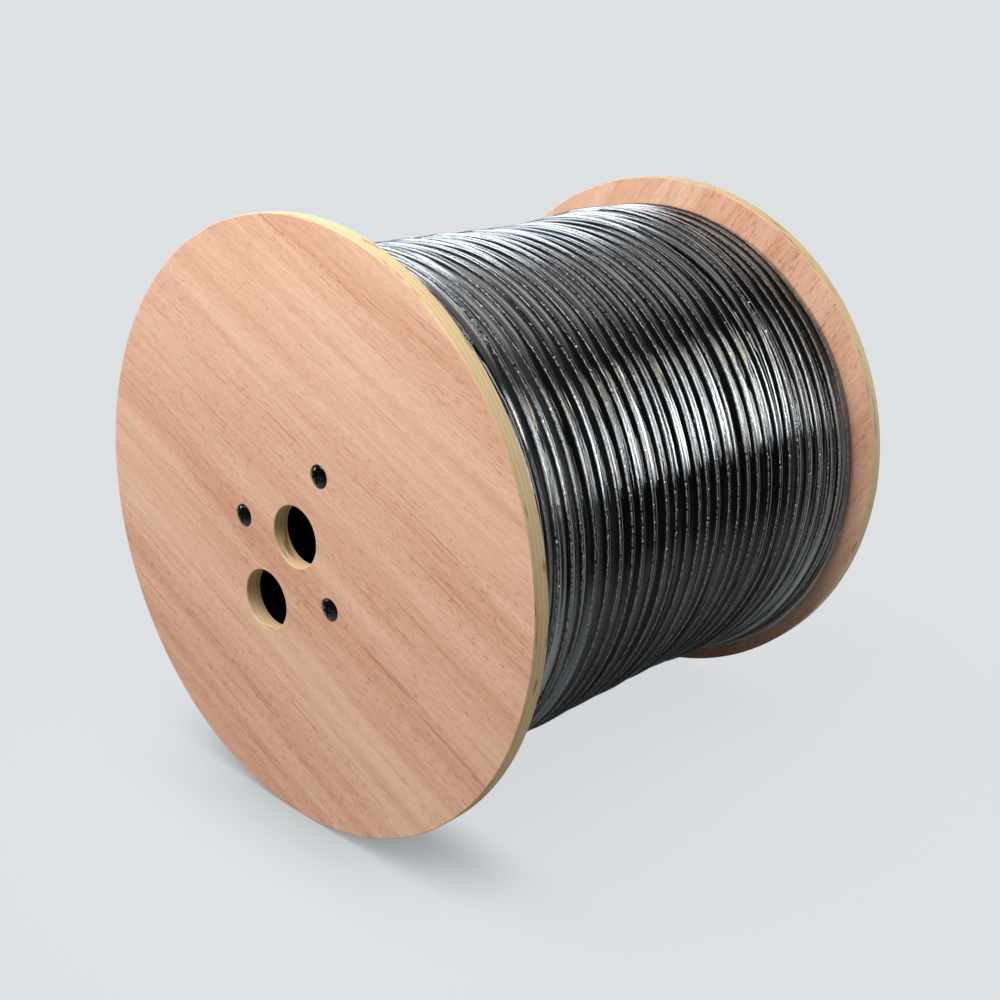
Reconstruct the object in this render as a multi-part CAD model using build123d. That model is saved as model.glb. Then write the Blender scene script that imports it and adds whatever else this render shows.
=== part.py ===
from build123d import *
import math
import os

# A plywood cable drum lying on its rims, full of black round cable under clear stretch film.
# Millimetres. Origin at the middle of the spindle axis, +Y along that axis to the far flange, +Z up.

# Flanges: two like plywood discs
flange_diameter = 350.0
flange_thickness = 10.0
overall_width = 338.0

# Holes through both flanges
spindle_hole_diameter = 36.0
drive_hole_diameter = 36.0
drive_hole_radius = 53.0
drive_hole_angle = 240.5

# Barrel: a tube let into a round groove in each flange
barrel_outer_diameter = 178.0
barrel_wall = 6.0
barrel_groove_depth = 3.0
barrel_clearance = 0.2

# Cable: nested layers of side-by-side turns of 10.3 mm cable between the flanges
turns_per_layer = 30
layer_count = 7
winding_diameter = 305.6
turn_crown = 3.8
layer_crown = 0.9
winding_clearance = 0.2

# Clear stretch film around the winding, several wraps thick, its edges turned up at the flanges
film_thickness = 0.4
film_clearance = 0.2
near_flare_rise = 3.0
near_flare_width = 8.0
far_flare_rise = 7.0
far_flare_width = 14.0

# Tie bolts: pan heads sunk in the near flange, tee nuts set in the far one
bolt_circle_radius = 45.0
bolt_angles = (63.0, 180.0, 310.0)
bolt_diameter = 6.0
bolt_hole_clearance = 0.3
head_diameter = 12.8
head_edge = 2.2
head_dome = 1.7
head_recess_depth = 2.4
head_recess_clearance = 0.25
cross_length = 7.2
cross_width = 1.5
cross_depth = 1.6
nut_diameter = 19.0
nut_plate = 1.4
nut_sleeve_diameter = 8.0
nut_sleeve_length = 8.0
nut_clearance = 0.15

# Worked-out places along the axis, measured from the middle
outer_face = overall_width / 2
inner_face = outer_face - flange_thickness
winding_end = inner_face - winding_clearance
ridge_foot = winding_end - layer_crown
turn_pitch = 2 * ridge_foot / turns_per_layer
valley_radius = winding_diameter / 2 - turn_crown
barrel_radius = barrel_outer_diameter / 2
winding_bore_radius = barrel_radius + winding_clearance
layer_height = (valley_radius - winding_bore_radius) / layer_count


def place_on_face(radius, degrees):
    """A point on a flange's face, as (X, Z), from its distance and angle about the axis."""
    angle = math.radians(degrees)
    return radius * math.cos(angle), radius * math.sin(angle)


def rod_along_axis(radius, start, end, at=(0.0, 0.0)):
    """A round bar along Y from start to end, centred on the (X, Z) point at."""
    middle = Location((at[0], (start + end) / 2, at[1]), (90, 0, 0))
    return middle * Cylinder(radius, end - start)


def tube_along_axis(outer_radius, inner_radius, start, end):
    """A round tube along Y between start and end."""
    return rod_along_axis(outer_radius, start, end) - rod_along_axis(inner_radius, start, end)


bolt_places = [place_on_face(bolt_circle_radius, angle) for angle in bolt_angles]
drive_place = place_on_face(drive_hole_radius, drive_hole_angle)


def flange_disc(side):
    """One flange with its holes and barrel groove; side is -1 for the near one, +1 for the far."""
    low, high = sorted((side * inner_face, side * outer_face))
    disc = rod_along_axis(flange_diameter / 2, low, high)
    disc -= rod_along_axis(spindle_hole_diameter / 2, low, high)
    disc -= rod_along_axis(drive_hole_diameter / 2, low, high, drive_place)
    groove_floor = side * (inner_face + barrel_groove_depth)
    disc -= tube_along_axis(
        barrel_radius + barrel_clearance,
        barrel_radius - barrel_wall - barrel_clearance,
        *sorted((side * inner_face, groove_floor)),
    )
    return disc


def near_flange():
    """The near flange: bolt holes with a shallow counterbore for each head."""
    disc = flange_disc(-1)
    for place in bolt_places:
        hole_radius = bolt_diameter / 2 + bolt_hole_clearance
        disc -= rod_along_axis(hole_radius, -outer_face, -inner_face, place)
        recess_radius = head_diameter / 2 + head_recess_clearance
        disc -= rod_along_axis(recess_radius, -outer_face, -outer_face + head_recess_depth, place)
    return disc


def far_flange():
    """The far flange: stepped holes that take the tee nuts' plates and sleeves."""
    disc = flange_disc(1)
    for place in bolt_places:
        sleeve_radius = nut_sleeve_diameter / 2 + nut_clearance
        disc -= rod_along_axis(sleeve_radius, inner_face, outer_face, place)
        plate_radius = nut_diameter / 2 + nut_clearance
        disc -= rod_along_axis(plate_radius, outer_face - nut_plate, outer_face, place)
    return disc


def barrel():
    """The hidden tube that the cable is wound on, seated in both flanges' grooves."""
    end = inner_face + barrel_groove_depth
    return tube_along_axis(barrel_radius, barrel_radius - barrel_wall, -end, end)


def end_ridges(side):
    """One end of the winding's half section, a shallow ridge for each layer, from outside to bore."""
    points = [(valley_radius, side * ridge_foot)]
    for layer in range(layer_count):
        top = valley_radius - layer * layer_height
        points.append((top - layer_height / 2, side * winding_end))
        points.append((top - layer_height, side * ridge_foot))
    return points


def cable_winding():
    """The full winding as one turned solid: a ridge for each turn, layers showing on both ends."""
    outside = [(valley_radius, -ridge_foot)]
    for turn in range(turns_per_layer):
        start = -ridge_foot + turn * turn_pitch
        outside.append((winding_diameter / 2, start + turn_pitch / 2))
        outside.append((valley_radius, start + turn_pitch))
    with BuildPart() as winding:
        with BuildSketch(Plane.XY):
            with BuildLine():
                Polyline(*outside)
                for side in (-1, 1):
                    Polyline(*end_ridges(side))
                Line((winding_bore_radius, -ridge_foot), (winding_bore_radius, ridge_foot))
            make_face()
        revolve(axis=Axis.Y)
    return winding.part


def film_wrap():
    """Clear stretch film as a thin tube just clear of the turns, flaring at both flanges."""
    inner_radius = winding_diameter / 2 + film_clearance
    film_end = inner_face - film_clearance
    run = [
        (inner_radius + near_flare_rise, -film_end),
        (inner_radius, -film_end + near_flare_width),
        (inner_radius, film_end - far_flare_width),
        (inner_radius + far_flare_rise, film_end),
    ]
    outer_run = [(radius + film_thickness, along) for radius, along in reversed(run)]
    with BuildPart() as film:
        with BuildSketch(Plane.XY):
            with BuildLine():
                Polyline(*run, *outer_run, close=True)
            make_face()
        revolve(axis=Axis.Y)
    return film.part


def tie_bolt(place):
    """A long bolt: shank through the barrel, domed head with a cross recess in the near flange."""
    seat = -outer_face + head_recess_depth
    shank_radius = bolt_diameter / 2
    head_radius = head_diameter / 2
    dome_foot = seat - head_edge
    dome_top = dome_foot - head_dome
    dome_radius = (head_radius**2 + head_dome**2) / (2 * head_dome)
    with BuildPart() as bolt:
        with BuildSketch(Plane.XY):
            with BuildLine():
                RadiusArc((0, dome_top), (head_radius, dome_foot), -dome_radius)
                Polyline(
                    (head_radius, dome_foot),
                    (head_radius, seat),
                    (shank_radius, seat),
                    (shank_radius, outer_face),
                    (0, outer_face),
                    (0, dome_top),
                )
            make_face()
        revolve(axis=Axis.Y)
        with Locations((0, dome_top + cross_depth / 2, 0)):
            Box(cross_length, cross_depth, cross_width, mode=Mode.SUBTRACT)
            Box(cross_width, cross_depth, cross_length, mode=Mode.SUBTRACT)
    return Pos(place[0], 0, place[1]) * bolt.part


def tee_nut(place):
    """A round plate with a threaded sleeve, pressed into the far flange from outside."""
    plate = rod_along_axis(nut_diameter / 2, outer_face - nut_plate, outer_face, place)
    sleeve_start = outer_face - nut_sleeve_length
    sleeve = rod_along_axis(nut_sleeve_diameter / 2, sleeve_start, outer_face, place)
    return plate + sleeve - rod_along_axis(bolt_diameter / 2, sleeve_start, outer_face, place)


def all_pieces():
    """Every piece of the drum by its name."""
    pieces = {
        "near_flange": near_flange(),
        "far_flange": far_flange(),
        "barrel": barrel(),
        "cable_winding": cable_winding(),
        "film_wrap": film_wrap(),
    }
    for number, place in enumerate(bolt_places, start=1):
        pieces[f"tie_bolt_{number}"] = tie_bolt(place)
        pieces[f"tee_nut_{number}"] = tee_nut(place)
    return pieces


os.makedirs("parts", exist_ok=True)
for name, piece in all_pieces().items():
    export_step(piece, f"parts/{name}.step")
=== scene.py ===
"""A plywood cable drum full of round black cable under clear stretch film, finished for a render.

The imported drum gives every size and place. Each operator finishes one group of pieces, and the
stage operator sets the floor, the lamps and the camera.
"""

import math

import bmesh
import bpy
import numpy as np
from bpy.props import FloatProperty, FloatVectorProperty, IntProperty, PointerProperty
from mathutils import Matrix, Vector


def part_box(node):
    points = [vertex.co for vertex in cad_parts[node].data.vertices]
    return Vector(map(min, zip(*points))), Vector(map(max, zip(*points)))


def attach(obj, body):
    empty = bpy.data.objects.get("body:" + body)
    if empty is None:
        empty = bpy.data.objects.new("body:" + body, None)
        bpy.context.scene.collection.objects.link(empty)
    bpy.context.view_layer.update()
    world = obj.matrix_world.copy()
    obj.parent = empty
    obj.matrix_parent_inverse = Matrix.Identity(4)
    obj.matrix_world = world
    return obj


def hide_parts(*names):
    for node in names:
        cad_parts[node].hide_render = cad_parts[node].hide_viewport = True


bl_info = {
    "name": "Cable Drum Finish",
    "version": (1, 0, 0),
    "blender": (4, 5, 0),
    "location": "3D View > Sidebar > Drum",
    "description": "Finishes a plywood cable drum: ply, cable turns, stretch film, bolts and stage",
    "category": "Object",
}

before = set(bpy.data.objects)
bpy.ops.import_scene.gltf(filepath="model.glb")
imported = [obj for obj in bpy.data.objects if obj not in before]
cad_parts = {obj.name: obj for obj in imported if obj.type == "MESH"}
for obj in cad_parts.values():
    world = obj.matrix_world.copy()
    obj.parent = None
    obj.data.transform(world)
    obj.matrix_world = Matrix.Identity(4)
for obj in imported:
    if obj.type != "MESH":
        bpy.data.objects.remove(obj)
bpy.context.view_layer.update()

MM = 0.001


def node_box(node):
    """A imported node's lowest and highest corners."""
    low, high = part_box(node)
    return Vector(low), Vector(high)


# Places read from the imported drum
near_low, near_high = node_box("near_flange")
far_low, _ = node_box("far_flange")
winding_low, winding_high = node_box("cable_winding")
RIM_RADIUS = near_high.x
PLY_THICKNESS = near_high.y - near_low.y
NEAR_INNER = near_high.y
FAR_INNER = far_low.y
WINDING_START = winding_low.y
WINDING_END = winding_high.y
WINDING_RADIUS = winding_high.x


# Shader building


class Wire:
    """A value socket that adds Math nodes when it is used in an expression."""

    def __init__(self, finish, socket):
        self.finish = finish
        self.socket = socket

    def _maths(self, operation, first, second=None):
        settings = {"operation": operation}
        return self.finish.node("ShaderNodeMath", settings, {0: first, 1: second})

    def __add__(self, other):
        return self._maths("ADD", self, other)

    def __radd__(self, other):
        return self._maths("ADD", other, self)

    def __sub__(self, other):
        return self._maths("SUBTRACT", self, other)

    def __rsub__(self, other):
        return self._maths("SUBTRACT", other, self)

    def __mul__(self, other):
        return self._maths("MULTIPLY", self, other)

    def __rmul__(self, other):
        return self._maths("MULTIPLY", other, self)

    def __pow__(self, other):
        return self._maths("POWER", self, other)

    def __abs__(self):
        return self._maths("ABSOLUTE", self)

    def above(self, other):
        """The greater of the two values."""
        return self._maths("MAXIMUM", self, other)

    def below(self, other):
        """The lesser of the two values."""
        return self._maths("MINIMUM", self, other)

    def wrapped(self, length):
        """The remainder after whole lengths."""
        return self._maths("FLOORED_MODULO", self, length)

    def rise(self, start, end):
        """0 before start, 1 after end, smooth between; start may be the greater."""
        if start > end:
            return 1 - self.rise(end, start)
        return self.finish.node(
            "ShaderNodeMapRange",
            {"interpolation_type": "SMOOTHSTEP"},
            {"Value": self, "From Min": start, "From Max": end},
        )

    def between(self, start, full, fading, end):
        """0 up to start, 1 from full to fading, 0 again from end."""
        return self.rise(start, full) * self.rise(end, fading)


class Finish:
    """A material, or the world's light, under construction."""

    def __init__(self, name, kind="materials"):
        self.block = getattr(bpy.data, kind).new(name)
        self.block.use_nodes = True
        self.tree = self.block.node_tree
        self.tree.nodes.clear()

    def node(self, kind, settings=None, inputs=None, out=0):
        """Add a node, with its settings before its inputs, and give back one output, if any."""
        node = self.tree.nodes.new(kind)
        for name, value in (settings or {}).items():
            setattr(node, name, value)
        for key, value in (inputs or {}).items():
            if value is None:
                continue
            socket = self._open_socket(node, key)
            if isinstance(value, Wire):
                self.tree.links.new(value.socket, socket)
            else:
                socket.default_value = value
        return None if out is None else Wire(self, node.outputs[out])

    @staticmethod
    def _open_socket(node, key):
        """The input called key; on a Mix node, the one that its data type shows."""
        if isinstance(key, int):
            return node.inputs[key]
        shown = [socket for socket in node.inputs if socket.name == key and socket.enabled]
        return shown[0] if shown else node.inputs[key]

    def place(self, kind="Object"):
        """Coordinates: the piece's own, or of the named kind."""
        return self.node("ShaderNodeTexCoord", out=kind)

    def turned(self, vector, rotation=(0, 0, 0), scale=(1, 1, 1), location=(0, 0, 0)):
        """Coordinates scaled, turned and then moved."""
        return self.node(
            "ShaderNodeMapping",
            {"vector_type": "POINT"},
            {"Vector": vector, "Rotation": rotation, "Scale": scale, "Location": location},
        )

    def noise(self, vector, detail=2.0, roughness=0.5, distortion=0.0):
        """Smooth noise between 0 and 1 that changes about once in each unit of the vector."""
        return self.node(
            "ShaderNodeTexNoise",
            inputs={
                "Vector": vector,
                "Scale": 1.0,
                "Detail": detail,
                "Roughness": roughness,
                "Distortion": distortion,
            },
        )

    def grain(self, vector, rates, location=(0, 0, 0), **kind):
        """Noise that changes at its own rate along each of the vector's axes."""
        return self.noise(self.turned(vector, scale=rates, location=location), **kind)

    def sheet_noise(self, u, v, rates, seed, **kind):
        """Noise on a sheet that changes at its own rate along each of its two coordinates."""
        u_rate, v_rate = rates
        return self.noise(self.joined(u_rate * u, v_rate * v, seed), **kind)

    def split(self, vector):
        """A vector's three parts."""
        parts = self.node("ShaderNodeSeparateXYZ", inputs={0: vector}).socket.node
        return [Wire(self, parts.outputs[number]) for number in range(3)]

    def joined(self, x, y, z):
        """A vector from three values."""
        return self.node("ShaderNodeCombineXYZ", inputs={0: x, 1: y, 2: z})

    def reach(self, vector, direction):
        """How far a vector goes in a direction."""
        settings = {"operation": "DOT_PRODUCT"}
        return self.node("ShaderNodeVectorMath", settings, {0: vector, 1: direction}, "Value")

    def rays(self):
        """Two values: 1 for rays straight from the camera, and 1 for rays off a glossy surface."""
        path = self.node("ShaderNodeLightPath").socket.node
        return [Wire(self, path.outputs[name]) for name in ("Is Camera Ray", "Is Glossy Ray")]

    def mix(self, factor, first, second):
        """A colour between first and second."""
        inputs = {"Factor": factor, "A": first, "B": second}
        return self.node("ShaderNodeMix", {"data_type": "RGBA"}, inputs, out=2)

    def bump(self, height, strength, distance):
        """A surface normal with the height's relief, distance in metres."""
        inputs = {"Height": height, "Strength": strength, "Distance": distance}
        return self.node("ShaderNodeBump", inputs=inputs, out="Normal")

    def surface(self, shader, kind="ShaderNodeOutputMaterial"):
        """Make the shader the material's or the world's surface."""
        self.node(kind, inputs={"Surface": shader}, out=None)

    def blended(self, factor, first, second):
        """A shader between first and second."""
        return self.node("ShaderNodeMixShader", inputs={0: factor, 1: first, 2: second})

    def background(self, colour, strength=1.0):
        """Light from all around, for the world."""
        return self.node("ShaderNodeBackground", inputs={"Color": colour, "Strength": strength})

    def principled(self, **inputs):
        """A Principled shader; inputs are named with underscores for spaces."""
        named = {name.replace("_", " "): value for name, value in inputs.items()}
        return self.node("ShaderNodeBsdfPrincipled", inputs=named)


def tone(red, green, blue, alpha=1.0):
    """A colour written as 0 to 255 screen values, as the linear colour that shaders read."""

    def linear(value):
        value /= 255
        return value / 12.92 if value <= 0.04045 else ((value + 0.055) / 1.055) ** 2.4

    return (linear(red), linear(green), linear(blue), alpha)


# Settings


class DrumPlySettings(bpy.types.PropertyGroup):
    """Colours and worn edges of the two plywood flanges."""

    edge_round: FloatProperty(
        name="Edge round",
        description="Radius worn onto the flanges' sharp edges",
        default=0.5 * MM,
        min=0.0,
        unit="LENGTH",
    )
    veneer_light: FloatVectorProperty(
        name="Veneer, light",
        description="Pale tone of the face veneer",
        subtype="COLOR",
        size=4,
        default=tone(238, 196, 167),
    )
    veneer_dark: FloatVectorProperty(
        name="Veneer, dark",
        description="Ruddy tone of the face veneer",
        subtype="COLOR",
        size=4,
        default=tone(206, 145, 115),
    )
    edge_light: FloatVectorProperty(
        name="Ply edge, light",
        description="Tone of the plies that show long grain at the rim and the holes",
        subtype="COLOR",
        size=4,
        default=tone(216, 193, 150),
    )
    edge_dark: FloatVectorProperty(
        name="Ply edge, dark",
        description="Tone of the plies that show end grain at the rim and the holes",
        subtype="COLOR",
        size=4,
        default=tone(182, 151, 108),
    )
    ply_count: IntProperty(
        name="Plies",
        description="Veneers in a flange's thickness",
        default=7,
        min=3,
    )


class DrumCableSettings(bpy.types.PropertyGroup):
    """The cable's outer layer of turns."""

    radius: FloatProperty(
        name="Cable radius",
        description="Half of the cable's outside diameter",
        default=5.05 * MM,
        unit="LENGTH",
    )
    turns: IntProperty(
        name="Turns",
        description="Turns side by side between the flanges",
        default=31,
        min=2,
    )
    wander: FloatProperty(
        name="Wander",
        description="How far a turn strays along the drum from even spacing",
        default=0.9 * MM,
        unit="LENGTH",
    )
    swell: FloatProperty(
        name="Swell",
        description="How much higher the turns are piled at the far flange",
        default=5.5 * MM,
        unit="LENGTH",
    )
    steps: IntProperty(
        name="Steps",
        description="Mesh steps around one turn",
        default=240,
        min=24,
    )
    jacket: FloatVectorProperty(
        name="Jacket",
        description="Colour of the jacket",
        subtype="COLOR",
        size=4,
        default=tone(17, 17, 18),
    )


class DrumFilmSettings(bpy.types.PropertyGroup):
    """The clear stretch film over the turns."""

    clearance: FloatProperty(
        name="Clearance",
        description="Space between the cable's crests and the film",
        default=0.25 * MM,
        unit="LENGTH",
    )
    valley: FloatProperty(
        name="Valley depth",
        description="How deep the film sinks between two turns",
        default=1.4 * MM,
        unit="LENGTH",
    )
    flare: FloatProperty(
        name="Flare",
        description="How far the film's edge turns up at the far flange",
        default=5.0 * MM,
        unit="LENGTH",
    )
    haze: FloatProperty(
        name="Haze",
        description="How milky the film's folds are",
        default=0.75,
        min=0.0,
        max=1.0,
        subtype="FACTOR",
    )


class DrumStageSettings(bpy.types.PropertyGroup):
    """Camera and light. The camera's place is given about the drum's middle."""

    azimuth: FloatProperty(
        name="Azimuth",
        description="Camera's angle from the near flange's side towards +X",
        default=math.radians(41.56),
        subtype="ANGLE",
    )
    elevation: FloatProperty(
        name="Elevation",
        description="Camera's angle above level",
        default=math.radians(19.78),
        subtype="ANGLE",
    )
    roll: FloatProperty(
        name="Roll",
        description="Camera's turn about its own view",
        default=math.radians(2.43),
        subtype="ANGLE",
    )
    distance: FloatProperty(
        name="Distance",
        description="From the drum's middle to the camera, along the view",
        default=0.8596,
        unit="LENGTH",
    )
    side_step: FloatProperty(
        name="Side step",
        description="How far the camera stands to its right of the drum's middle",
        default=-0.0008,
        unit="LENGTH",
    )
    drop: FloatProperty(
        name="Drop",
        description="How far the camera stands below the drum's middle, across the view",
        default=0.0176,
        unit="LENGTH",
    )
    lens: FloatProperty(
        name="Lens",
        description="Focal length on a 36 mm wide frame, in millimetres",
        default=48.49,
        unit="CAMERA",
    )
    backdrop: FloatVectorProperty(
        name="Backdrop",
        description="Colour behind the drum",
        subtype="COLOR",
        size=4,
        default=tone(221, 225, 228),
    )


# Plywood

# How often the veneer changes along the grain, through the ply and across the grain, per metre
BROAD_RATES = (2.6, 9, 24)
BAND_RATES = (2.2, 14, 62)
STREAK_RATES = (9, 30, 210)
FIBRE_RATES = (130, 90, 1150)
PORE_RATES = (190, 60, 1300)
PORE_LINE_RATES = (14, 20, 850)

# How much the first four make the veneer paler, what is taken off in all, and how the pores show
BROAD_WEIGHT = 0.3
BAND_WEIGHT = 0.38
STREAK_WEIGHT = 0.25
FIBRE_WEIGHT = 0.9
PALENESS_OFFSET = 0.3
PORE_WEIGHT = 0.6
VENEER_RELIEF = 0.25 * MM

# How often the plies' edges change along X, Y and Z, per metre
EDGE_GRAIN_RATES = (260, 1400, 260)
EDGE_BLOTCH_RATES = (28, 160, 28)
EDGE_GAP_RATES = (42, 240, 42)

# How strongly each mark shows on the plies' edges
CROSS_PLY_WEIGHT = 0.25
EDGE_GRAIN_WEIGHT = 0.6
EDGE_BLOTCH_WEIGHT = 0.35
EDGE_GAP_WEIGHT = 0.7
GLUE_WEIGHT = 0.14

PORE_COLOUR = tone(164, 98, 72)
EDGE_BLOTCH_COLOUR = tone(172, 138, 96)
GLUE_COLOUR = tone(128, 86, 56)

# How each flange's grain is turned, and where its noises start
NEAR_GRAIN_ANGLE = math.radians(-25)
FAR_GRAIN_ANGLE = math.radians(58)
NEAR_SEED = 0.31
FAR_SEED = 1.47


def veneer_finish(finish, place, settings, grain_angle, seed):
    """Rotary-cut veneer with its pores: the colour, the fibres and the relief."""
    along = finish.turned(place, rotation=(0, grain_angle, 0), location=(seed, 0, seed / 3))
    broad = finish.grain(along, BROAD_RATES, detail=3, roughness=0.55)
    bands = finish.grain(along, BAND_RATES, detail=2)
    streaks = finish.grain(along, STREAK_RATES, detail=3, roughness=0.65, distortion=0.3)
    fibres = finish.grain(along, FIBRE_RATES, detail=2, roughness=0.7)
    pores = finish.grain(along, PORE_RATES, detail=1)
    lines = finish.grain(along, PORE_LINE_RATES, detail=1)
    paleness = (
        broad.rise(0.32, 0.7) * BROAD_WEIGHT
        + bands.rise(0.3, 0.7) * BAND_WEIGHT
        + streaks.rise(0.3, 0.72) * STREAK_WEIGHT
        + fibres * FIBRE_WEIGHT
        - PALENESS_OFFSET
    )
    colour = finish.mix(paleness, settings.veneer_dark, settings.veneer_light)
    porous = broad.rise(0.62, 0.4) * 0.6 + 0.4
    pore_mask = (pores.rise(0.58, 0.72) + lines.rise(0.62, 0.78)) * PORE_WEIGHT * porous
    relief = fibres * 0.4 + streaks * 0.2 - pore_mask * 0.6
    return finish.mix(pore_mask, colour, PORE_COLOUR), fibres, relief


def ply_edge_finish(finish, place, settings, seed):
    """The plies' edges: their colour, and a mask of the small gaps in them."""
    depth = finish.split(place)[1]
    ply = (abs(depth) - FAR_INNER) * (settings.ply_count / PLY_THICKNESS)
    glue = abs(ply.wrapped(1.0) - 0.5).rise(0.4, 0.5)
    cross_ply = (ply.wrapped(2.0) - 1).rise(-0.05, 0.05)
    grain = finish.grain(place, EDGE_GRAIN_RATES, detail=3)
    blotches = finish.grain(place, EDGE_BLOTCH_RATES, detail=2)
    gaps = finish.grain(place, EDGE_GAP_RATES, location=(seed, 1, 2), detail=1)
    darkness = cross_ply * CROSS_PLY_WEIGHT + grain * EDGE_GRAIN_WEIGHT
    colour = finish.mix(darkness, settings.edge_light, settings.edge_dark)
    blotch_mask = blotches.rise(0.52, 0.75) * EDGE_BLOTCH_WEIGHT
    colour = finish.mix(blotch_mask, colour, EDGE_BLOTCH_COLOUR)
    gap_mask = gaps.rise(0.64, 0.7) * EDGE_GAP_WEIGHT
    colour = finish.mix((glue * GLUE_WEIGHT + gap_mask).below(0.9), colour, GLUE_COLOUR)
    return colour, gap_mask


def ply_finish(name, settings, grain_angle, seed):
    """Rotary-cut veneer on the faces, the plies' edges on the rim and in the holes."""
    finish = Finish(name)
    place = finish.place()
    face, fibres, relief = veneer_finish(finish, place, settings, grain_angle, seed)
    edge, gap_mask = ply_edge_finish(finish, place, settings, seed)
    along_axis = finish.split(finish.place("Normal"))[1]
    on_edge = abs(along_axis).rise(0.75, 0.45)
    finish.surface(
        finish.principled(
            Base_Color=finish.mix(on_edge, face, edge),
            Roughness=0.62 + fibres * 0.12,
            Normal=finish.bump(relief - gap_mask * on_edge, 0.35, VENEER_RELIEF),
        )
    )
    return finish.block


# Cable jacket

# How often each mark changes along the cable, per metre, and across its half-round
TICK_RATES = (520, 22)
PRINT_STRENGTH_RATES = (9, 2)
SCUFF_RATES = (60, 30)

# Where the row of ticks fades in and out, in shares of the half-round from the near side
TICK_ROW = (0.445, 0.46, 0.53, 0.545)
TICK_COLOUR = tone(176, 182, 186)
SCUFF_RELIEF = 0.1 * MM


def jacket_finish(settings):
    """Glossy black jacket with a fine broken line of pale ticks along each turn."""
    finish = Finish("glossy_black_jacket")
    length, around, _ = finish.split(finish.place("UV"))
    ticks = finish.sheet_noise(length, around, TICK_RATES, seed=0.0, detail=1)
    strength = finish.sheet_noise(length, around, PRINT_STRENGTH_RATES, seed=3.0, detail=1)
    scuffs = finish.sheet_noise(length, around, SCUFF_RATES, seed=5.0, detail=3)
    tick_mask = around.between(*TICK_ROW) * ticks.rise(0.46, 0.53) * strength.rise(0.3, 0.42)
    finish.surface(
        finish.principled(
            Base_Color=finish.mix(tick_mask, settings.jacket, TICK_COLOUR),
            Roughness=0.12 + scuffs * 0.1,
            Normal=finish.bump(scuffs, 0.12, SCUFF_RELIEF),
        )
    )
    return finish.block


# Stretch film

# How often each mark changes across the turns, per metre, and round the drum, per radian
CREASE_RATES = (330, 0.4)
RIPPLE_RATES = (150, 2.2)
BEAD_RATES = (260, 60)
STRAND_RATES = (240, 0.5)
WISP_RATES = (310, 0.8)

# The same for the places where the film doesn't shine, but per turn and per radian
DULL_RATES = (1.3, 0.9)

# Where the painted highlight line fades in and out past each crest, in shares of a turn: a milky
# stripe in the film that stands in for the shine the crests catch
HIGHLIGHT_LINE = (0.2, 0.225, 0.25, 0.275)
HIGHLIGHT_LINE_STRENGTH = 0.5
MOST_MILK_AND_HIGHLIGHT = 0.85

# How much of the reflected light shows everywhere, and how much more on each mark
PLAIN_SHINE = 0.16
SLANT_SHINE = 3
BRIDGE_SHINE = 0.3
STRAND_SHINE = 2.8
BEAD_SHINE = 1.5
MOST_SHINE = 0.6

FILM_RELIEF = 0.9 * MM
REFRACTIVE_INDEX = 1.5
CLEAR = (1, 1, 1, 1)
MIRROR_COLOUR = (0.95, 0.97, 1.0, 1)
# The milky folds' colour, which also paints the highlight line past each crest
MILK_AND_HIGHLIGHT_COLOUR = tone(214, 222, 228)


def film_finish(settings, pitch):
    """Clear film: it mirrors at a slant, between the turns, in fine strands and in beads on the
    crests, and is milky where it is folded; a milky line past each crest is a painted highlight."""
    finish = Finish("clear_stretch_film")
    turn, around, _ = finish.split(finish.place("UV"))
    across = turn * pitch
    from_crest = abs((turn + 0.5).wrapped(1.0) - 0.5)
    bridging = from_crest.rise(0.19, 0.25)
    creases = finish.sheet_noise(across, around, CREASE_RATES, seed=1.0, detail=1)
    ripples = finish.sheet_noise(across, around, RIPPLE_RATES, seed=2.0, detail=1)
    beads = finish.sheet_noise(across, around, BEAD_RATES, seed=6.0, detail=0)
    beads = beads.rise(0.6, 0.7) * from_crest.rise(0.14, 0.06)
    normal = finish.bump(creases + ripples * 0.3 + beads * 0.25, 0.8, FILM_RELIEF)
    strands = finish.sheet_noise(across, around, STRAND_RATES, seed=9.0, detail=1)
    strands = abs(strands - 0.5).rise(0.045, 0.015)
    gloss = finish.node("ShaderNodeFresnel", inputs={"IOR": REFRACTIVE_INDEX, "Normal": normal})
    square_on = (1 - gloss * 4).above(0.0)
    share = (
        PLAIN_SHINE
        + gloss * SLANT_SHINE
        + bridging * BRIDGE_SHINE
        + strands * square_on * STRAND_SHINE
        + beads * BEAD_SHINE
    )
    folded = finish.node("ShaderNodeAttribute", {"attribute_name": "folded"}, out="Fac")
    lit = finish.sheet_noise(turn, around, DULL_RATES, seed=8.0, detail=0).rise(0.33, 0.45)
    shining = (gloss * share * lit * (1 - folded * 0.5)).below(MOST_SHINE)
    wisps = finish.sheet_noise(across, around, WISP_RATES, seed=4.0, detail=3, roughness=0.6)
    # Painted highlight: a milky stripe past each crest stands in for the crests' shine, and is
    # added to the milk of the folds
    painted_highlight_line = turn.wrapped(1.0).between(*HIGHLIGHT_LINE) * HIGHLIGHT_LINE_STRENGTH
    milk_and_painted_highlight = (folded * wisps.rise(0.44, 0.6) * settings.haze + painted_highlight_line).below(MOST_MILK_AND_HIGHLIGHT)
    clear = finish.node("ShaderNodeBsdfTransparent", inputs={"Color": CLEAR})
    shine = finish.principled(
        Base_Color=MIRROR_COLOUR, Metallic=1.0, Roughness=0.03, Normal=normal
    )
    milk_and_highlight_shader = finish.principled(Base_Color=MILK_AND_HIGHLIGHT_COLOUR, Roughness=0.35, Normal=normal)
    finish.surface(finish.blended(milk_and_painted_highlight, finish.blended(shining, clear, shine), milk_and_highlight_shader))
    return finish.block


# Tube, bolts and nuts

# How often each material changes along X, Y and Z, per metre
TUBE_FOLD_RATES = (30, 9, 30)
BOLT_SPECK_RATES = (300, 300, 300)
ZINC_CLOUD_RATES = (260, 260, 260)

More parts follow.
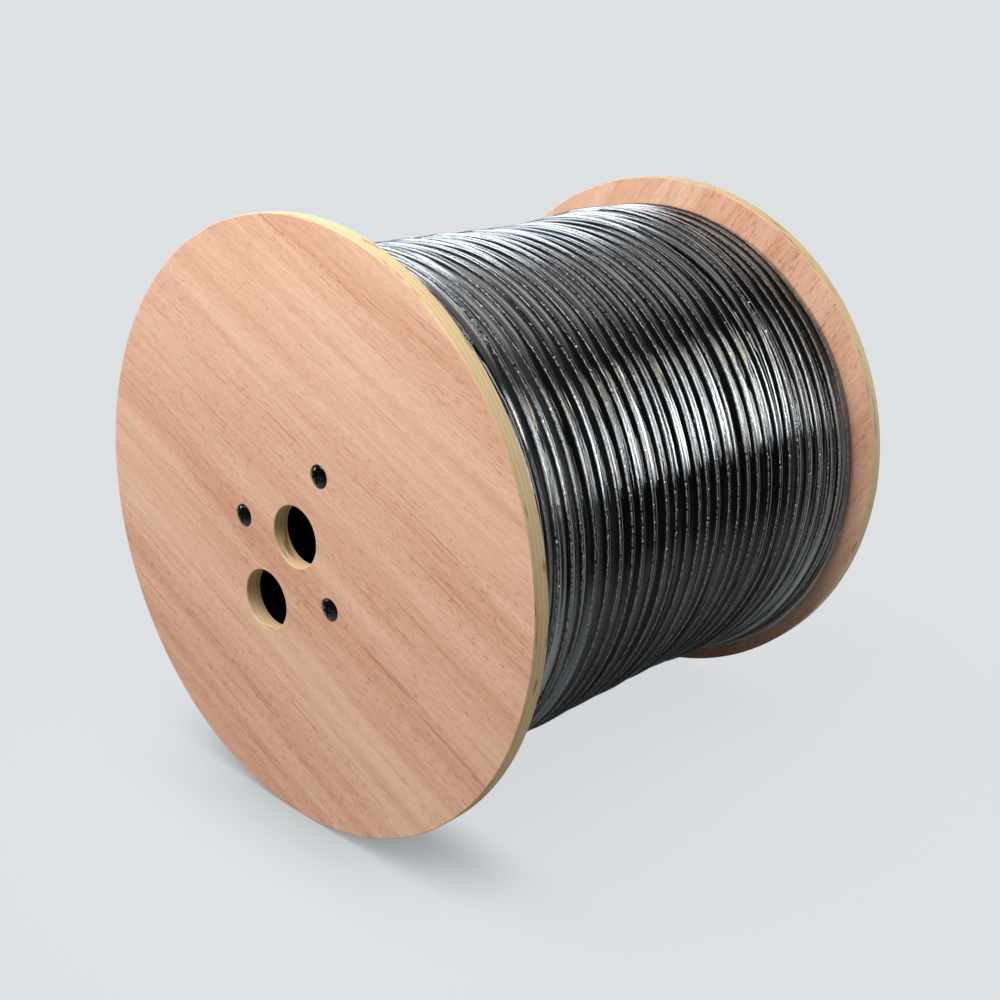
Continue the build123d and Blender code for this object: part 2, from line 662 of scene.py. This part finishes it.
TUBE_COLOUR = tone(8, 8, 9)
BOLT_COLOUR = tone(9, 9, 10)
ZINC_DARK = tone(176, 178, 180)
ZINC_LIGHT = tone(205, 203, 196)

TUBE_RELIEF = 1 * MM
BOLT_RELIEF = 1.2 * MM
ZINC_RELIEF = 0.1 * MM
TUBE_EDGE_ROUND = 0.4 * MM
BOLT_EDGE_ROUND = 0.15 * MM
NUT_EDGE_ROUND = 0.2 * MM

# Each tie bolt has the tee nut of its own number
FASTENER_NUMBERS = (1, 2, 3)


def tube_finish():
    """Black plastic core tube."""
    finish = Finish("black_core_tube")
    folds = finish.grain(finish.place(), TUBE_FOLD_RATES, detail=3)
    finish.surface(
        finish.principled(
            Base_Color=TUBE_COLOUR,
            Roughness=0.8 + folds * 0.15,
            Specular_IOR_Level=0.05,
            Normal=finish.bump(folds, 0.3, TUBE_RELIEF),
        )
    )
    return finish.block


def bolt_finish():
    """Glossy black paint on the bolts' heads and shanks."""
    finish = Finish("glossy_black_bolt")
    specks = finish.grain(finish.place(), BOLT_SPECK_RATES, detail=1)
    finish.surface(
        finish.principled(
            Base_Color=BOLT_COLOUR,
            Roughness=0.06 + specks * 0.04,
            Coat_Weight=1.0,
            Normal=finish.bump(specks, 0.7, BOLT_RELIEF),
        )
    )
    return finish.block


def nut_finish():
    """Bright zinc plate with faint cloudiness."""
    finish = Finish("zinc_plate")
    cloud = finish.grain(finish.place(), ZINC_CLOUD_RATES, detail=3)
    finish.surface(
        finish.principled(
            Base_Color=finish.mix(cloud, ZINC_DARK, ZINC_LIGHT),
            Metallic=1.0,
            Roughness=0.28 + cloud * 0.2,
            Normal=finish.bump(cloud, 0.1, ZINC_RELIEF),
        )
    )
    return finish.block


# Pieces

# Points nearer than this are one point
SAME_PLACE = 0.001 * MM

# Faces that meet at less than the first angle are one flat face, edges over the second are rounded
# over, and edges under the third are shaded smooth
FLAT_ANGLE = math.radians(0.5)
SHARP_ANGLE = math.radians(40)
SMOOTH_ANGLE = math.radians(20)


def add_piece(name, mesh, material, slot, *nodes):
    """Show a finished mesh in the place of the named nodes."""
    piece = bpy.data.objects.new(name, mesh)
    bpy.context.scene.collection.objects.link(piece)
    mesh.materials.clear()
    mesh.materials.append(material)
    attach(piece, "root")
    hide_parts(*nodes)


def softened_copy(node, name, material, slot, edge_round):
    """Show a node's own shape with its sharp edges rounded over."""
    shape = bmesh.new()
    shape.from_mesh(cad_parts[node].data)
    bmesh.ops.remove_doubles(shape, verts=shape.verts, dist=SAME_PLACE)
    bmesh.ops.dissolve_limit(
        shape, angle_limit=FLAT_ANGLE, verts=shape.verts, edges=shape.edges
    )
    sharp = [edge for edge in shape.edges if edge.calc_face_angle(0.0) > SHARP_ANGLE]
    bmesh.ops.bevel(
        shape,
        geom=sharp,
        offset=edge_round,
        affect="EDGES",
        segments=2,
        profile=0.5,
        material=-1,
    )
    for edge in shape.edges:
        edge.smooth = edge.calc_face_angle(0.0) < SMOOTH_ANGLE
    for face in shape.faces:
        face.smooth = True
    mesh = bpy.data.meshes.new(name)
    shape.to_mesh(mesh)
    shape.free()
    add_piece(name, mesh, material, slot, node)


# Heights and places along the winding

# The winding starts a quarter turn before +X, at the drum's underside
START_TURN = 0.25


def angle_at(turn):
    """Angle round the spindle axis after a number of turns from the winding's start."""
    return 2 * np.pi * (turn - START_TURN)


def waves(turn, parts):
    """A sum of sine waves, each with its share, its length in turns and its start in radians."""
    return sum(share * np.sin(2 * np.pi * turn / length + start) for share, length, start in parts)


def smooth_step(share):
    """0 below 0, 1 above 1, smooth between."""
    share = np.clip(share, 0, 1)
    return share**2 * (3 - 2 * share)


def fade(distance, width, power=1.0):
    """1 at no distance, falling to 0 at the width."""
    return np.clip(1 - distance / width, 0, 1) ** power


def towards(angle, *ways):
    """How far an angle round the drum points the given ways: each falls from 1 where the angle is
    its degrees to 0 a quarter turn off, the sooner the greater its power."""
    return sum(
        np.clip(np.cos(angle - math.radians(degrees)), 0, 1) ** power for degrees, power in ways
    )


def bump_at(turn, centre, spread):
    """1 at the centre, falling to 0 on both sides."""
    return np.exp(-(((turn - centre) / spread) ** 2))


def smooth_greatest(first, second, blend):
    """The greater of two heights with a rounded joint."""
    share = np.clip(0.5 + (first - second) / (2 * blend), 0, 1)
    return second * (1 - share) + first * share + blend * share * (1 - share)


# Waves of the turns' straying along the drum, and of their height
STRAY_WAVES = ((0.62, 3.7, 1.0), (0.45, 1.37, 2.0), (0.28, 0.61, 0.5))
HEIGHT_WAVES = ((0.6, 2.9, 0.0), (0.4, 0.83, 1.0))

# The most that the waves lift or lower a turn
UNEVENNESS = 0.5 * MM

# Turns at each end that lie straight against the flange, and turns after them that stray little
STRAIGHT_TURNS = 0.8
CALM_TURNS = 1.5

# Turns that ride over their neighbours: turns from the start, spread, side step and lift
RIDING_TURNS = (
    (3.45, 0.09, 4.2 * MM, 1.8 * MM),
    (5.51, 0.07, -3.6 * MM, 1.5 * MM),
    (24.41, 0.08, 4.4 * MM, 1.8 * MM),
    (26.45, 0.08, -4.4 * MM, 2.0 * MM),
)

# The turns are piled higher toward the far flange, the last ones once more at their lower right.
# A way round the drum is its degrees and its power, as towards takes them
PILE_START = 35 * MM
PILE_LENGTH = 90 * MM
LAST_PILE_START = 110 * MM
LAST_PILE_LENGTH = 42 * MM
LAST_PILE_WAY = (-45, 0.7)

# Where the cable dives in at both ends: turns, and depth in cable radii
DIVE_TURNS = 0.4
DIVE_DEPTH = 1.3

# Mesh steps across the cable's half-round
STRIP_STEPS = 8


class Winding:
    """Where the outer layer's cable runs, as a function of turns from its start."""

    def __init__(self, settings):
        self.radius = settings.radius
        self.turns = settings.turns
        self.wander = settings.wander
        width = WINDING_END - WINDING_START - 2 * settings.radius
        self.pitch = width / (settings.turns - 1)
        self.start = WINDING_START + settings.radius
        self.middle_radius = WINDING_RADIUS - settings.radius - UNEVENNESS
        self.swell_height = settings.swell

    def along(self, turn):
        """Place along the drum; the first and last half turns lie against the flanges."""
        place = self.start + self.pitch * np.clip(turn - 0.5, 0, self.turns - 1)
        from_end = np.minimum(turn, self.turns - turn)
        free = np.clip((from_end - STRAIGHT_TURNS) / CALM_TURNS, 0, 1)
        place = place + self.wander * waves(turn, STRAY_WAVES) * free
        for centre, spread, side_step, _ in RIDING_TURNS:
            place = place + side_step * bump_at(turn, centre, spread)
        return place

    def swell(self, along, angle):
        """Extra height of the turns near the far flange, most of all on its right side."""
        piled = smooth_step((along - PILE_START) / PILE_LENGTH)
        last_turns = smooth_step((along - LAST_PILE_START) / LAST_PILE_LENGTH)
        return self.swell_height * (piled + last_turns * towards(angle, LAST_PILE_WAY))

    def out(self, turn):
        """Distance of the cable's middle from the spindle axis."""
        distance = self.middle_radius + UNEVENNESS * waves(turn, HEIGHT_WAVES)
        distance = distance + self.swell(self.along(turn), angle_at(turn))
        for centre, spread, _, rise in RIDING_TURNS:
            distance = distance + rise * bump_at(turn, centre, spread)
        return distance


def sheet_mesh(name, columns, rows, shaped):
    """A grid bent into place. shaped takes each point's two fractions of the grid, from 0 to 1, and
    gives X, Y, Z and the two UV values."""
    shape = bmesh.new()
    bmesh.ops.create_grid(shape, x_segments=columns, y_segments=rows, size=0.5)
    mesh = bpy.data.meshes.new(name)
    shape.to_mesh(mesh)
    shape.free()
    points = np.empty(len(mesh.vertices) * 3)
    mesh.vertices.foreach_get("co", points)
    first, second = points.reshape(-1, 3).T[:2] + 0.5
    x, y, z, u, v = shaped(first, second)
    mesh.vertices.foreach_set("co", np.stack([x, y, z], axis=-1).ravel())
    corners = np.empty(len(mesh.loops), dtype=np.int64)
    mesh.loops.foreach_get("vertex_index", corners)
    layer = mesh.uv_layers.new(name="length_and_width")
    layer.data.foreach_set("uv", np.stack([u[corners], v[corners]], axis=-1).ravel())
    mesh.update()
    return mesh


def turns_mesh(winding, settings):
    """The outer layer, a half-round strip wound into one long uneven helix, on the layers below."""

    def shaped(along_strip, across_strip):
        turn = along_strip * winding.turns
        angle = angle_at(turn)
        lean = np.pi * (0.5 - across_strip)
        from_end = np.minimum(turn, winding.turns - turn)
        sunk = DIVE_DEPTH * winding.radius * fade(from_end, DIVE_TURNS, 2)
        distance = winding.out(turn) - sunk + winding.radius * np.cos(lean)
        x = distance * np.cos(angle)
        y = winding.along(turn) + winding.radius * np.sin(lean)
        z = distance * np.sin(angle)
        return x, y, z, angle * winding.middle_radius, 1 - across_strip

    mesh = sheet_mesh("cable_turns", settings.steps * settings.turns, STRIP_STEPS, shaped)
    shape = bmesh.new()
    shape.from_mesh(mesh)
    strip = set(shape.verts)
    shape.from_mesh(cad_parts["cable_winding"].data)
    body = [point for point in shape.verts if point not in strip]
    bmesh.ops.remove_doubles(shape, verts=body, dist=SAME_PLACE)
    lowest_middle = winding.middle_radius - UNEVENNESS
    for point in shape.verts:
        distance = math.hypot(point.co.x, point.co.z)
        if point not in strip and distance > lowest_middle:
            around = math.atan2(point.co.z, point.co.x)
            wanted = lowest_middle + winding.swell(point.co.y, around)
            point.co.x *= wanted / distance
            point.co.z *= wanted / distance
    shape.to_mesh(mesh)
    shape.free()
    return mesh


# Film shape

# Space between the film's edges and the flanges
FILM_GAP = 0.3 * MM

# Mesh steps across one turn, and round the whole drum
FILM_STEPS_ACROSS = 12
FILM_STEPS_ROUND = 236

# The film reaches from each crest over its neighbours' sides, in pitches, and leaves it in a curve
BRIDGE_REACH = 0.9
BRIDGE_BLEND = 0.5 * MM

# The rolled sheet's two ends are nearer than this and become one
FILM_SEAM = 0.01 * MM

# How wide the film's edges turn up, where round the drum, and the near edge's share of the height
FAR_FLARE_WIDTH = 16 * MM
FAR_FLARE_WAY = (-62, 2)
NEAR_FLARE_WIDTH = 12 * MM
NEAR_FLARE_WAYS = ((92, 1), (-50, 3))
NEAR_FLARE_SHARE = 0.5

# Ruffles of the turned-up edges: share of the height, waves round the drum and start in radians
RUFFLES = ((0.15, 9, 2), (0.06, 23, 0))

# Milky folds: strength, reach from the film's edge and where they lie round the drum
EDGE_FOLD_STRENGTH = 0.3
EDGE_FOLD_REACH = 10 * MM
NEAR_FOLD_STRENGTH = 1.2
NEAR_FOLD_REACH = 85 * MM
NEAR_FOLD_WAYS = ((109, 3), (-30, 3))
FAR_FOLD_STRENGTH = 1.3
FAR_FOLD_REACH = 75 * MM
FAR_FOLD_WAY = (-40, 3)
FAR_RIM_STRENGTH = 2
FAR_RIM_REACH = 1 * MM
FAR_RIM_WAY = (-48, 1)


def film_folds(from_near, from_far, angle):
    """How folded the film is, from the distances to its two edges and the angle round the drum."""
    folds = EDGE_FOLD_STRENGTH * fade(from_near, EDGE_FOLD_REACH, 2)
    folds += FAR_FOLD_STRENGTH * fade(from_far, FAR_FOLD_REACH) * towards(angle, FAR_FOLD_WAY)
    folds += FAR_RIM_STRENGTH * (from_far < FAR_RIM_REACH) * towards(angle, FAR_RIM_WAY)
    folds += NEAR_FOLD_STRENGTH * fade(from_near, NEAR_FOLD_REACH) * towards(angle, *NEAR_FOLD_WAYS)
    return np.clip(folds, 0, 1)


def film_mesh(winding, settings):
    """The film: a sheet rolled into a tube, sunk between the turns and turned up at its edges."""
    low = NEAR_INNER + FILM_GAP
    high = FAR_INNER - FILM_GAP

    def shaped(across_drum, round_drum):
        angle = angle_at(round_drum)
        along = low + (high - low) * across_drum
        crest = np.zeros_like(angle)
        cover = winding.middle_radius + winding.radius + winding.swell(along, angle)
        crests_passed = np.zeros_like(angle)
        last = np.full_like(angle, NEAR_INNER - winding.radius)
        for number in range(winding.turns):
            turn = number + round_drum
            middle = winding.out(turn)
            place = winding.along(turn)
            off = np.abs(along - place)
            height = middle + np.sqrt(np.maximum(winding.radius**2 - off**2, 0))
            crest = np.maximum(crest, np.where(off < winding.radius, height, 0))
            covered = off < winding.pitch * BRIDGE_REACH
            cover = np.maximum(cover, (middle + winding.radius) * covered)
            crests_passed += np.clip((along - last) / (place - last), 0, 1)
            last = place
        crests_passed += (along > last) * (along - last) / winding.pitch
        distance = smooth_greatest(crest, cover - settings.valley, BRIDGE_BLEND)
        distance = distance + settings.clearance
        ruffle = sum((share * np.sin(angle * count + start) for share, count, start in RUFFLES), 1)
        far_rise = settings.flare * towards(angle, FAR_FLARE_WAY)
        near_rise = NEAR_FLARE_SHARE * settings.flare * towards(angle, *NEAR_FLARE_WAYS)
        distance = distance + far_rise * fade(high - along, FAR_FLARE_WIDTH, 2) * ruffle
        distance = distance + near_rise * fade(along - low, NEAR_FLARE_WIDTH, 2) * ruffle
        return distance * np.cos(angle), along, distance * np.sin(angle), crests_passed, angle

    columns = winding.turns * FILM_STEPS_ACROSS
    mesh = sheet_mesh("stretch_film", columns, FILM_STEPS_ROUND, shaped)
    points = np.empty(len(mesh.vertices) * 3)
    mesh.vertices.foreach_get("co", points)
    x, along, z = points.reshape(-1, 3).T
    folds = film_folds(along - low, high - along, np.arctan2(z, x))
    layer = mesh.attributes.new("folded", "FLOAT", "POINT")
    layer.data.foreach_set("value", folds.astype(np.float32))
    shape = bmesh.new()
    shape.from_mesh(mesh)
    bmesh.ops.remove_doubles(shape, verts=shape.verts, dist=FILM_SEAM)
    shape.to_mesh(mesh)
    shape.free()
    return mesh


# Operators for the pieces


class DRUM_OT_finish_flanges(bpy.types.Operator):
    """Round the flanges' edges and give them their veneer and ply edges"""

    bl_idname = "drum.finish_flanges"
    bl_label = "Finish flanges"

    def execute(self, context):
        settings = context.scene.drum_ply
        near = ply_finish("ply_near", settings, NEAR_GRAIN_ANGLE, NEAR_SEED)
        far = ply_finish("ply_far", settings, FAR_GRAIN_ANGLE, FAR_SEED)
        softened_copy("near_flange", "near_ply_disc", near, "plywood", settings.edge_round)
        softened_copy("far_flange", "far_ply_disc", far, "plywood", settings.edge_round)
        return {"FINISHED"}


class DRUM_OT_wind_cable(bpy.types.Operator):
    """Lay the outer layer of turns in the winding's place"""

    bl_idname = "drum.wind_cable"
    bl_label = "Wind cable"

    def execute(self, context):
        settings = context.scene.drum_cable
        mesh = turns_mesh(Winding(settings), settings)
        mesh.shade_smooth()
        add_piece("cable_turns", mesh, jacket_finish(settings), "cable_jacket", "cable_winding")
        return {"FINISHED"}


class DRUM_OT_wrap_film(bpy.types.Operator):
    """Wrap the clear film over the turns"""

    bl_idname = "drum.wrap_film"
    bl_label = "Wrap film"

    def execute(self, context):
        settings = context.scene.drum_film
        winding = Winding(context.scene.drum_cable)
        mesh = film_mesh(winding, settings)
        mesh.shade_smooth()
        finish = film_finish(settings, winding.pitch)
        add_piece("stretch_film", mesh, finish, "stretch_film", "film_wrap")
        return {"FINISHED"}


class DRUM_OT_finish_tube(bpy.types.Operator):
    """Give the core tube its black plastic"""

    bl_idname = "drum.finish_tube"
    bl_label = "Finish core tube"

    def execute(self, context):
        softened_copy("barrel", "core_tube", tube_finish(), "core_plastic", TUBE_EDGE_ROUND)
        return {"FINISHED"}


class DRUM_OT_finish_fasteners(bpy.types.Operator):
    """Give the tie bolts and tee nuts their metal"""

    bl_idname = "drum.finish_fasteners"
    bl_label = "Finish bolts and nuts"

    def execute(self, context):
        bolt = bolt_finish()
        nut = nut_finish()
        for number in FASTENER_NUMBERS:
            softened_copy(
                f"tie_bolt_{number}", f"black_bolt_{number}", bolt, "black_steel", BOLT_EDGE_ROUND
            )
            softened_copy(
                f"tee_nut_{number}", f"zinc_tee_nut_{number}", nut, "zinc_steel", NUT_EDGE_ROUND
            )
        return {"FINISHED"}


# Floor, light and camera

FLOOR_RADIUS = 12.0
FLOOR_SEGMENTS = 96
SHADOW_COLOUR = tone(150, 152, 154)
SHADOW_REACH = 0.08
SHADOW_SAMPLES = 8
DIM_REFLECTION = (0.02, 0.022, 0.024, 1)

# Where the floor changes, in metres: under the turns behind the near flange, and out from the drum
BEHIND_NEAR_FLANGE = (-0.14, -0.1)
PLAIN_FLOOR = (0.22, 0.45)
DIM_FLOOR = (0.25, 0.75)

# The floor's colour to the camera, and its darker one where it throws light back
FLOOR_COLOUR = tone(205, 209, 212)
BOUNCE_COLOUR = tone(150, 153, 155)

# The lamps stand off the drum in a direction and face it: metres and watts
LAMPS = {
    "rim_lamp": {
        "direction": (0.66, 0.70, 0.255),
        "distance": 1.6,
        "width": 1.2,
        "height": 0.5,
        "power": 11.0,
        "colour": (1.0, 0.97, 0.9),
    },
    "glint_lamp": {
        "direction": (-0.85, -0.50, 0.10),
        "distance": 1.5,
        "width": 0.15,
        "height": 0.3,
        "power": 1.0,
        "colour": (1.0, 1.0, 1.0),
    },
    "key_lamp": {
        "direction": (-0.10, -0.56, 0.82),
        "distance": 0.95,
        "width": 0.8,
        "height": 0.8,
        "power": 11.8,
        "colour": (1.0, 0.98, 0.95),
    },
    "top_lamp": {
        "direction": (-0.1, -0.15, 1.0),
        "distance": 2.2,
        "width": 1.5,
        "height": 1.5,
        "power": 14.0,
        "colour": (1.0, 1.0, 1.0),
    },
}

# What glossy surfaces reflect: a glow high up, a cool band low down and a warm band above it. A
# spread says how near to the direction each begins and is full, depths and heights say the same
# along Y and Z
GLOW_DIRECTION = (-0.8, 0.5, 0.33)
GLOW_SPREAD = (0.84, 0.96)
GLOW_HEIGHTS = (0.2, 0.5)
GLOW_STRENGTH = 7.0
LEAST_GLOW = 0.01
BANDS_DIRECTION = (0.575, 0.818, 0)
BANDS_SPREAD = (0.8, 0.88)
BAND_DEPTHS = (0.6, 0.9)
BAND_HEIGHTS = (-0.02, 0.03, 0.3, 0.5)
BAND_STRENGTH = 7.5
BAND_COLOUR = (0.84, 0.93, 1, 1)
WARM_BAND_HEIGHTS = (0.46, 0.48, 0.56, 0.6)
WARM_BAND_STRENGTH = 9.0
WARM_BAND_COLOUR = (1.0, 0.78, 0.4, 1)

# The soft light that fills the shadows comes most from this direction
FILL_DIRECTION = (-0.7, 0, 0.7)
FILL_SPREAD = (-0.3, 0.7)
FILL_STRENGTH = 0.36
FILL_COLOUR = (0.9, 0.95, 1, 1)

# The camera's frame, in millimetres
FRAME_WIDTH = 36


def area_lamp(name, direction, distance, width, height, power, colour):
    """A soft lamp that stands off the drum in a direction and faces it."""
    data = bpy.data.lights.new(name, "AREA")
    data.shape = "RECTANGLE"
    data.size = width
    data.size_y = height
    data.energy = power
    data.color = colour
    lamp = bpy.data.objects.new(name, data)
    away = Vector(direction).normalized()
    lamp.location = away * distance
    lamp.rotation_euler = away.to_track_quat("Z", "Y").to_euler()
    bpy.context.scene.collection.objects.link(lamp)


def floor_finish(settings):
    """Pale floor: the plain backdrop with the drum's soft shadow, dim in far reflections."""
    finish = Finish("pale_floor")
    camera_ray, glossy_ray = finish.rays()
    x, y, _ = finish.split(finish.place())
    from_drum = (x * x + y * y) ** 0.5
    behind = y.rise(*BEHIND_NEAR_FLANGE)
    open_sky = finish.node(
        "ShaderNodeAmbientOcclusion",
        {"samples": SHADOW_SAMPLES},
        {"Distance": SHADOW_REACH},
        out="AO",
    )
    shadow = open_sky.rise(0.95, 0.1) * (0.1 + (1 - behind) * 0.9)
    shaded = finish.mix(shadow, settings.backdrop, SHADOW_COLOUR)
    pale = finish.mix(camera_ray, BOUNCE_COLOUR, FLOOR_COLOUR)
    lit = finish.node("ShaderNodeBsdfDiffuse", inputs={"Color": pale})
    plain = finish.node("ShaderNodeEmission", inputs={"Color": shaded})
    dim = finish.node("ShaderNodeEmission", inputs={"Color": DIM_REFLECTION})
    plainness = 0.88 + (from_drum.rise(*PLAIN_FLOOR) * 0.12).above(behind * 0.06)
    seen = finish.blended(camera_ray * plainness, lit, plain)
    dimness = glossy_ray * (0.38 + from_drum.rise(*DIM_FLOOR) * 0.6)
    finish.surface(finish.blended(dimness, seen, dim))
    return finish.block


def light_world(settings):
    """Even backdrop to the camera, soft fill to the surfaces, a glow and bands to reflections."""
    finish = Finish("studio", "worlds")
    camera_ray, glossy_ray = finish.rays()
    way = finish.place("Generated")
    _, y, z = finish.split(way)
    glow = finish.reach(way, GLOW_DIRECTION).rise(*GLOW_SPREAD) * z.rise(*GLOW_HEIGHTS)
    ahead = finish.reach(way, BANDS_DIRECTION).rise(*BANDS_SPREAD)
    band = ahead * y.rise(*BAND_DEPTHS) * z.between(*BAND_HEIGHTS)
    warm_band = ahead * z.between(*WARM_BAND_HEIGHTS)
    shine = glow * GLOW_STRENGTH + LEAST_GLOW + band * BAND_STRENGTH
    shine = shine + warm_band * WARM_BAND_STRENGTH
    shine_colour = finish.mix(warm_band, BAND_COLOUR, WARM_BAND_COLOUR)
    level = 0.2 + finish.reach(way, FILL_DIRECTION).rise(*FILL_SPREAD) * 0.8
    fill = finish.background(FILL_COLOUR, level * FILL_STRENGTH)
    backdrop = finish.background(settings.backdrop)
    sheen = finish.background(shine_colour, shine)
    world = finish.blended(glossy_ray, finish.blended(camera_ray, fill, backdrop), sheen)
    finish.surface(world, "ShaderNodeOutputWorld")
    bpy.context.scene.world = finish.block


def place_camera(settings):
    """Stand the camera where the photograph was taken from."""
    azimuth, elevation, roll = settings.azimuth, settings.elevation, settings.roll
    back = Vector(
        (
            math.sin(azimuth) * math.cos(elevation),
            -math.cos(azimuth) * math.cos(elevation),
            math.sin(elevation),
        )
    )
    level = Vector((math.cos(azimuth), math.sin(azimuth), 0))
    upright = back.cross(level)
    right = level * math.cos(roll) + upright * math.sin(roll)
    up = upright * math.cos(roll) - level * math.sin(roll)
    data = bpy.data.cameras.new("camera")
    data.sensor_width = FRAME_WIDTH
    data.lens = settings.lens
    camera = bpy.data.objects.new("camera", data)
    place = back * settings.distance + right * settings.side_step - up * settings.drop
    turn = Matrix((right, up, back)).transposed().to_4x4()
    camera.matrix_world = Matrix.Translation(place) @ turn
    bpy.context.scene.collection.objects.link(camera)
    bpy.context.scene.camera = camera


class DRUM_OT_set_stage(bpy.types.Operator):
    """Set the floor, the lamps, the world and the camera"""

    bl_idname = "drum.set_stage"
    bl_label = "Set stage"

    def execute(self, context):
        settings = context.scene.drum_stage
        shape = bmesh.new()
        bmesh.ops.create_circle(
            shape, cap_ends=True, segments=FLOOR_SEGMENTS, radius=FLOOR_RADIUS
        )
        bmesh.ops.translate(shape, verts=shape.verts, vec=(0, 0, -RIM_RADIUS))
        mesh = bpy.data.meshes.new("floor")
        shape.to_mesh(mesh)
        shape.free()
        mesh.materials.append(floor_finish(settings))
        floor = bpy.data.objects.new("floor", mesh)
        context.scene.collection.objects.link(floor)
        for name, lamp in LAMPS.items():
            area_lamp(name, **lamp)
        light_world(settings)
        place_camera(settings)
        context.scene.view_settings.view_transform = "Standard"
        return {"FINISHED"}


# Panel and registration


class DRUM_PT_panel(bpy.types.Panel):
    """The drum's finish, in the sidebar"""

    bl_label = "Cable drum"
    bl_idname = "DRUM_PT_panel"
    bl_space_type = "VIEW_3D"
    bl_region_type = "UI"
    bl_category = "Drum"

    def draw(self, context):
        for operator in OPERATORS:
            self.layout.operator(operator.bl_idname)


OPERATORS = (
    DRUM_OT_finish_flanges,
    DRUM_OT_finish_tube,
    DRUM_OT_wind_cable,
    DRUM_OT_wrap_film,
    DRUM_OT_finish_fasteners,
    DRUM_OT_set_stage,
)
SETTINGS = {
    "drum_ply": DrumPlySettings,
    "drum_cable": DrumCableSettings,
    "drum_film": DrumFilmSettings,
    "drum_stage": DrumStageSettings,
}


def register():
    for group in SETTINGS.values():
        bpy.utils.register_class(group)
    for name, group in SETTINGS.items():
        setattr(bpy.types.Scene, name, PointerProperty(type=group))
    for operator in OPERATORS:
        bpy.utils.register_class(operator)
    bpy.utils.register_class(DRUM_PT_panel)


def unregister():
    bpy.utils.unregister_class(DRUM_PT_panel)
    for operator in reversed(OPERATORS):
        bpy.utils.unregister_class(operator)
    for name, group in SETTINGS.items():
        delattr(bpy.types.Scene, name)
        bpy.utils.unregister_class(group)


def main():
    register()
    bpy.ops.drum.finish_flanges()
    bpy.ops.drum.finish_tube()
    bpy.ops.drum.wind_cable()
    bpy.ops.drum.wrap_film()
    bpy.ops.drum.finish_fasteners()
    bpy.ops.drum.set_stage()


if __name__ == "__main__":
    main()
